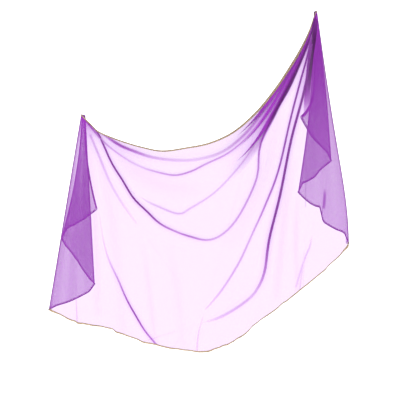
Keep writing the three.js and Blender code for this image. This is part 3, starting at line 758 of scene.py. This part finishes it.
# %% Sew the braid on
def stitch_row(name, strip, inner):
    """Copies of the stitch in a zigzag along the inner side of a braid."""
    line = strip[:, inner]
    run = lengths(line[:, None], 0)[:, 0]
    places = np.arange(STITCH_SPACING / 2, run[-1], STITCH_SPACING)
    out = points_at(places, run, toward_viewer(strip)[:, inner])
    ahead = unit(points_at(places, run, np.gradient(line, axis=0)))
    aside = np.cross(out, ahead)
    lean = STITCH_LEAN * np.where(np.arange(len(places)) % 2, 1, -1)[:, None]
    forward = np.cos(lean) * ahead + np.sin(lean) * aside
    sideways = np.cos(lean) * aside - np.sin(lean) * ahead
    middle = points_at(places, run, line) + out * (BRAID_LIFT + STITCH_RADIUS)
    vertices = middle[:, None]
    for k, direction in enumerate((forward, sideways, out)):
        vertices = vertices + stitch_points[None, :, k, None] * direction[:, None]
    faces = [tuple(i * len(stitch_points) + corner for corner in corners)
             for i in range(len(places)) for corners in stitch_faces]
    uv = np.stack(np.broadcast_arrays(places[:, None] + stitch_points[:, 0],
                                      BRAID_WIDTH / 2 + stitch_points[:, 1]), axis=-1)
    return mesh_piece(name, vertices, faces, uv)


stitches_top = stitch_row("stitches_top", top_strip, -1)
stitches_bottom = stitch_row("stitches_bottom", bottom_strip[:, ::-1], 0)
STITCH_ROWS = (stitches_top, stitches_bottom)
for piece in STITCH_ROWS:
    print(piece.name, len(piece.data.polygons) // len(stitch_faces), "stitches")

# %% [markdown]
# ## Rolled hems
# The short ends are rolled to a thin cord and oversewn in the cloth's own colour. A tube follows the cut edge,
# swelling a little between the stitches.

# %% Make the rolled hems
HEM_SIDES = 8
STITCH_PITCH = 0.006
HEM_TAPER = 0.018               # length over which the hem thins at its two ends
HEM_TIP = 0.35                  # how thick it is there, as a share of its radius
HEM_SWELL = 0.07                # how much it swells between the stitches


def rolled_hem(name, points):
    """A tube just beyond the last row of a grid."""
    edge, inner = points[:, -1], points[:, -2]
    along_edge = np.gradient(edge, axis=0)
    out = edge - inner
    out -= along_edge * (np.sum(out * along_edge, axis=-1) / np.sum(along_edge ** 2, axis=-1))[:, None]
    out = unit(out)
    run = lengths(edge[:, None], 0)[:, 0]
    steps = int(run[-1] / (STITCH_PITCH / 3))
    fine = np.linspace(0, run[-1], steps)
    centre = points_at(fine, run, edge + out * (HEM_RADIUS + SEAM))
    tangent = unit(np.gradient(centre, axis=0))
    face = unit(np.cross(tangent, points_at(fine, run, out)))
    beyond = np.cross(face, tangent)
    swell = HEM_RADIUS * (1 - HEM_SWELL + HEM_SWELL * np.cos(2 * math.pi * fine / STITCH_PITCH))
    swell = swell * mix(HEM_TIP, 1, smooth(0, HEM_TAPER, np.minimum(fine, run[-1] - fine)))
    rings = np.stack([centre + swell[:, None] * (math.cos(a) * beyond + math.sin(a) * face)
                      for a in (2 * math.pi * k / HEM_SIDES for k in range(HEM_SIDES))], axis=1)
    around = np.arange(HEM_SIDES) * (2 * HEM_RADIUS * math.pi / HEM_SIDES)
    uv = np.stack(np.broadcast_arrays(fine[:, None], around), axis=-1)
    piece = mesh_piece(name, rings, tube_faces(len(fine), HEM_SIDES), uv)
    outward_faces(piece)
    return piece


rolled_hem_high = rolled_hem("rolled_hem_high", high_points)
rolled_hem_low = rolled_hem("rolled_hem_low", low_points)
print("hems:", len(rolled_hem_high.data.polygons) + len(rolled_hem_low.data.polygons), "faces")

# %% [markdown]
# ## Writing finishes as formulas
# A finish is a graph of nodes. Written node by node, its maths is hard to read, so a small class wraps a socket
# and lets Python's own operators add the Math nodes. Every other node comes from one method.

# %% The finish helpers
class Wire:
    """An output socket that can be used in an expression."""

    def __init__(self, finish, socket):
        self.finish = finish
        self.socket = socket

    def __add__(self, other):
        return self.finish.math("ADD", self, other)

    __radd__ = __add__

    def __mul__(self, other):
        return self.finish.math("MULTIPLY", self, other)

    __rmul__ = __mul__

    def __sub__(self, other):
        return self.finish.math("SUBTRACT", self, other)

    def __rsub__(self, other):
        return self.finish.math("SUBTRACT", other, self)


class Finish:
    """A material with one Principled shader, built from expressions."""

    def __init__(self, name, **constants):
        self.material = bpy.data.materials.new(name)
        self.material.use_nodes = True
        self.tree = self.material.node_tree
        self.shader = self.tree.nodes["Principled BSDF"]
        for socket, value in constants.items():
            self.shader.inputs[socket.replace("_", " ")].default_value = value

    def set(self, socket, value):
        if isinstance(value, Wire):
            self.tree.links.new(value.socket, socket)
        else:
            socket.default_value = value

    def node(self, kind, settings=(), output=0, **sockets):
        node = self.tree.nodes.new(kind)
        for name, value in dict(settings).items():
            setattr(node, name, value)
        for name, value in sockets.items():
            key = int(name[1:]) if name[1:].isdigit() else name.replace("_", " ")
            self.set(node.inputs[key], value)
        return Wire(self, node.outputs[output])

    def math(self, operation, a, b=0.0, clamp=False):
        return self.node("ShaderNodeMath", {"operation": operation, "use_clamp": clamp}, i0=a, i1=b)

    def colours(self, factor, a, b):
        settings = {"data_type": "RGBA"}
        return self.node("ShaderNodeMix", settings, output=2, i0=factor, i6=a, i7=b)

    def uv(self):
        place = self.node("ShaderNodeUVMap", {"uv_map": "cloth"})
        split = self.node("ShaderNodeSeparateXYZ", i0=place)
        return place, split, Wire(self, split.socket.node.outputs[1])

    def attribute(self, name, output):
        return self.node("ShaderNodeAttribute", {"attribute_name": name}, output=output)

    def near(self, distance, width, core=0.4):
        """1 where a distance is less than a share of the width, falling smoothly to 0 at the width."""
        settings = {"interpolation_type": "SMOOTHSTEP"}
        size = self.math("ABSOLUTE", distance)
        return self.node("ShaderNodeMapRange", settings, i0=size, i1=core * width, i2=width, i3=1.0, i4=0.0)

    def noise(self, place, scale, detail=3.0):
        settings = {"noise_dimensions": "3D"}
        return self.node("ShaderNodeTexNoise", settings, Vector=place, Scale=scale, Detail=detail)

    def feed(self, **links):
        for name, value in links.items():
            self.set(self.shader.inputs[name.replace("_", " ")], value)


# %% [markdown]
# ## Chiffon
# Chiffon is an open weave of fine crepe thread, so it is partly see-through, and each further layer in front of
# a bright ground makes it darker and richer. Glass-like refraction would be wrong for this, because light
# passes through the gaps between the threads. Plain alpha does what the gaps do.

# %% The chiffon finish
CHIFFON_ALPHA = 0.54
GATHER_POWER = 1.5
# How sharply the painted shade darkens the cloth towards a crease's crest.
CREST_SHADE_POWER = 4.0
EDGE_SHADE = 0.80
EDGE_SHADE_WIDTH = 0.0045
FOLD_SHADE_SHARE = 0.85                # how far a fold line is painted in its shade colour
MOST_OPAQUE = 0.996
THREAD_PITCH = 0.0009
THREAD_SLIP = 2.5               # how far the crepe bends the threads
WEAVE_MIDDLE, WEAVE_SHOWS = 0.4, 0.05
CREPE_SCALE, CLOUD_SCALE = 900.0, 5.0
VIOLET = (0.285, 0.026, 0.425, 1)
PALE_VIOLET = (0.330, 0.036, 0.470, 1)
# Painted shade: the colour where the band, the bunched layers by the hand, the crests and the hem's edge are
# shaded.
SHADED_VIOLET = (0.066, 0.002, 0.090, 1)
# Painted shade along the folds of the falling ends, where the cloth turns edge-on.
FOLD_SHADE_VIOLET = (0.165, 0.066, 0.205, 1)


def chiffon():
    finish = Finish("chiffon", Roughness=0.66, Sheen_Weight=0.07, Sheen_Roughness=0.4,
                    Sheen_Tint=(0.95, 0.82, 1, 1), Specular_IOR_Level=0.18)
    place, along_cloth, down_cloth = finish.uv()
    crest = 0.0
    for i in range(0, len(CREASES), 3):
        three = finish.node("ShaderNodeSeparateXYZ", i0=finish.attribute(f"crease_distance_{i // 3}", 1))
        for axis, crease in enumerate(CREASES[i:i + 3]):
            distance = Wire(finish, three.socket.node.outputs[axis])
            width, core = (crease[CREASE_COLUMNS.index(column)] for column in ("line", "core"))
            line = finish.near(distance, width, core)
            crest = finish.math("MAXIMUM", crest, line)
    crest = crest * finish.attribute("crease_strength", 2)
    # Beside the hem the cloth is doubled, so it is drawn more opaque there, and its colour also gets painted
    # shade.
    rolled = finish.near(finish.attribute("from_edge", 2), EDGE_SHADE_WIDTH) * EDGE_SHADE
    gather = 1 - (1 - finish.attribute("gather", 2)) * (1 - crest) * (1 - rolled)
    crepe = finish.noise(place, CREPE_SCALE, 2.0)
    warp = finish.math("SINE", along_cloth * (2 * math.pi / THREAD_PITCH) + crepe * THREAD_SLIP)
    weft = finish.math("SINE", down_cloth * (2 * math.pi / THREAD_PITCH) + crepe * THREAD_SLIP)
    weave = finish.math("MAXIMUM", warp, weft)
    cloudy = finish.noise(place, CLOUD_SCALE, 2.0)
    tone = finish.colours(cloudy, VIOLET, PALE_VIOLET)
    # Painted shade: the shade attribute, the crest lines and the band beside the hem darken the colour.
    deep = finish.math("MAXIMUM", finish.attribute("shade", 2), finish.math("POWER", crest, CREST_SHADE_POWER))
    deep = finish.math("MAXIMUM", deep, rolled)
    body = finish.colours(deep, tone, SHADED_VIOLET)
    gaps = finish.math("POWER", 1 - gather, GATHER_POWER) * (1 - CHIFFON_ALPHA)
    finish.feed(
        Base_Color=finish.colours(finish.attribute("fold", 2) * FOLD_SHADE_SHARE, body, FOLD_SHADE_VIOLET),
        Alpha=finish.math("MINIMUM", 1 - gaps + (weave - WEAVE_MIDDLE) * WEAVE_SHOWS, MOST_OPAQUE),
        Normal=finish.node("ShaderNodeBump", Strength=0.25, Distance=0.0004, Height=weave + crepe),
    )
    return finish.material


chiffon_finish = chiffon()
print("chiffon has", len(chiffon_finish.node_tree.nodes), "nodes")

# %% [markdown]
# ## Gold braid and oversewn hem
# The braid is plaited metallic thread, whose strands cross its width in a herringbone. The hem is the cloth's
# own violet wound with thread, so it is solid and darker.

# %% The other finishes
GOLD = (0.63, 0.47, 0.31, 1)
SHADED_GOLD = (0.33, 0.23, 0.14, 1)
HEM_VIOLET = (0.060, 0.005, 0.080, 1)
HEM_SHADE = (0.022, 0.002, 0.030, 1)
PLAIT_PITCH = 0.0032
PLAIT_SLANT = 0.9
HEM_SLANT = 0.35
WEAR_SCALE = 60.0


def gold_braid():
    finish = Finish("gold_braid", Metallic=0.85)
    place, run, across = finish.uv()
    centre = finish.math("ABSOLUTE", across - BRAID_WIDTH / 2)
    strands = finish.math("SINE", (run + centre * PLAIT_SLANT) * (2 * math.pi / PLAIT_PITCH))
    height = strands * 0.5 + 0.5
    wear = finish.noise(place, WEAR_SCALE)
    # Painted highlight and shade: the raised strands are lighter and the grooves darker, varied at random by
    # the wear noise.
    shine = finish.math("MULTIPLY", height, wear + 0.25, clamp=True)
    finish.feed(
        Base_Color=finish.colours(shine, SHADED_GOLD, GOLD),
        Roughness=0.5 - height * 0.2,
        Normal=finish.node("ShaderNodeBump", Strength=0.7, Distance=0.0006, Height=height),
    )
    return finish.material


def oversewn_hem():
    finish = Finish("oversewn_hem", Sheen_Weight=0.05, Specular_IOR_Level=0.2)
    _, run, around = finish.uv()
    wound = finish.math("SINE", (run + around * HEM_SLANT) * (2 * math.pi / (STITCH_PITCH / 3)))
    height = wound * 0.5 + 0.5
    finish.feed(
        Base_Color=finish.colours(height, HEM_SHADE, HEM_VIOLET),
        Roughness=0.75 - height * 0.15,
        Normal=finish.node("ShaderNodeBump", Strength=0.6, Distance=0.0004, Height=height),
    )
    return finish.material


braid_finish = gold_braid()
hem_finish = oversewn_hem()

# %% [markdown]
# ## Fastening everything to the frame
# Nothing on the veil moves by itself, so each piece rides on the one body. Each takes the place of its solid.

# %% Fasten the pieces
FASTENED = [
    (veil_span, "cloth_span", "chiffon", chiffon_finish),
    (veil_end_high, "fall_high_hand", "chiffon", chiffon_finish),
    (veil_end_low, "fall_low_hand", "chiffon", chiffon_finish),
    (braid_top, "edging_top", "gold_edging", braid_finish),
    (braid_bottom, "edging_bottom", "gold_edging", braid_finish),
    (braid_high_end, "edging_high_end", "gold_edging", braid_finish),
    (braid_low_end, "edging_low_end", "gold_edging", braid_finish),
    (rolled_hem_high, "hem_high_end", "rolled_hem", hem_finish),
    (rolled_hem_low, "hem_low_end", "rolled_hem", hem_finish),
]
for piece, node, slot, finish in FASTENED:
    piece.data.materials.append(finish)
    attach(piece, "root")
    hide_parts(node)

for piece in STITCH_ROWS:
    piece.data.materials.append(braid_finish)
    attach(piece, "root")

print(len(FASTENED) + len(STITCH_ROWS), "pieces ride on the root")

# %% [markdown]
# ## Floor, light and camera
# The veil is thin enough that what stands behind it decides its colour, so the ground is a bright white: the
# sky that the camera sees is brighter than the light it gives. Large soft lamps keep shadows faint. The camera
# is far off with a long lens, level with the middle of the veil.

# %% Stage
FLOOR_Z = -1.90
FLOOR_SIZE = 9.0
FLOOR_GLOW = 0.92
GROUND_WHITE = 1.8
SKY_LIGHT = 0.68

bpy.ops.mesh.primitive_plane_add(size=FLOOR_SIZE, location=(-0.58, 0, FLOOR_Z))
floor = bpy.context.object
floor.name = "floor"
floor_finish = Finish("floor", Base_Color=(0.9, 0.9, 0.9, 1), Roughness=0.9,
                      Emission_Color=(1, 1, 1, 1), Emission_Strength=FLOOR_GLOW)
floor.data.materials.append(floor_finish.material)

world = bpy.data.worlds.new("studio")
bpy.context.scene.world = world
world.use_nodes = True
sky = world.node_tree.nodes["Background"]
seen_sky = world.node_tree.nodes.new("ShaderNodeBackground")
for background, strength in ((sky, SKY_LIGHT), (seen_sky, GROUND_WHITE)):
    background.inputs["Color"].default_value = (1, 1, 1, 1)
    background.inputs["Strength"].default_value = strength
ray_kind = world.node_tree.nodes.new("ShaderNodeLightPath")
either = world.node_tree.nodes.new("ShaderNodeMixShader")
world_links = world.node_tree.links
world_links.new(ray_kind.outputs["Is Camera Ray"], either.inputs[0])
world_links.new(sky.outputs[0], either.inputs[1])
world_links.new(seen_sky.outputs[0], either.inputs[2])
world_links.new(either.outputs[0], world.node_tree.nodes["World Output"].inputs["Surface"])

# %% Lamps and camera
VEIL_CENTRE = Vector((-0.5825, 0.0, -0.9525))
CAMERA_DISTANCE = 20.0
LENS = 360


def soft_lamp(name, place, size, power):
    lamp = bpy.data.lights.new(name, "AREA")
    lamp.shape = "DISK"
    lamp.size = size
    lamp.energy = power
    stand = bpy.data.objects.new(name, lamp)
    stand.location = place
    stand.rotation_euler = (VEIL_CENTRE - Vector(place)).to_track_quat("-Z", "Y").to_euler()
    bpy.context.collection.objects.link(stand)


soft_lamp("key", (-3.2, -4.0, 2.2), 2.4, 95)
soft_lamp("fill", (3.0, -3.6, 0.6), 2.6, 50)
soft_lamp("back", (-0.6, 4.2, 1.6), 3.0, 50)

camera_data = bpy.data.cameras.new("camera")
camera_data.sensor_width = 36
camera_data.lens = LENS
camera_data.clip_end = 60
camera = bpy.data.objects.new("camera", camera_data)
camera.location = VEIL_CENTRE - Vector((0, CAMERA_DISTANCE, 0))
camera.rotation_euler = (math.pi / 2, 0, 0)
bpy.context.collection.objects.link(camera)

scene = bpy.context.scene
scene.camera = camera
scene.view_settings.view_transform = "Standard"
scene.cycles.transparent_max_bounces = 48
print("the camera stands", CAMERA_DISTANCE, "m away")
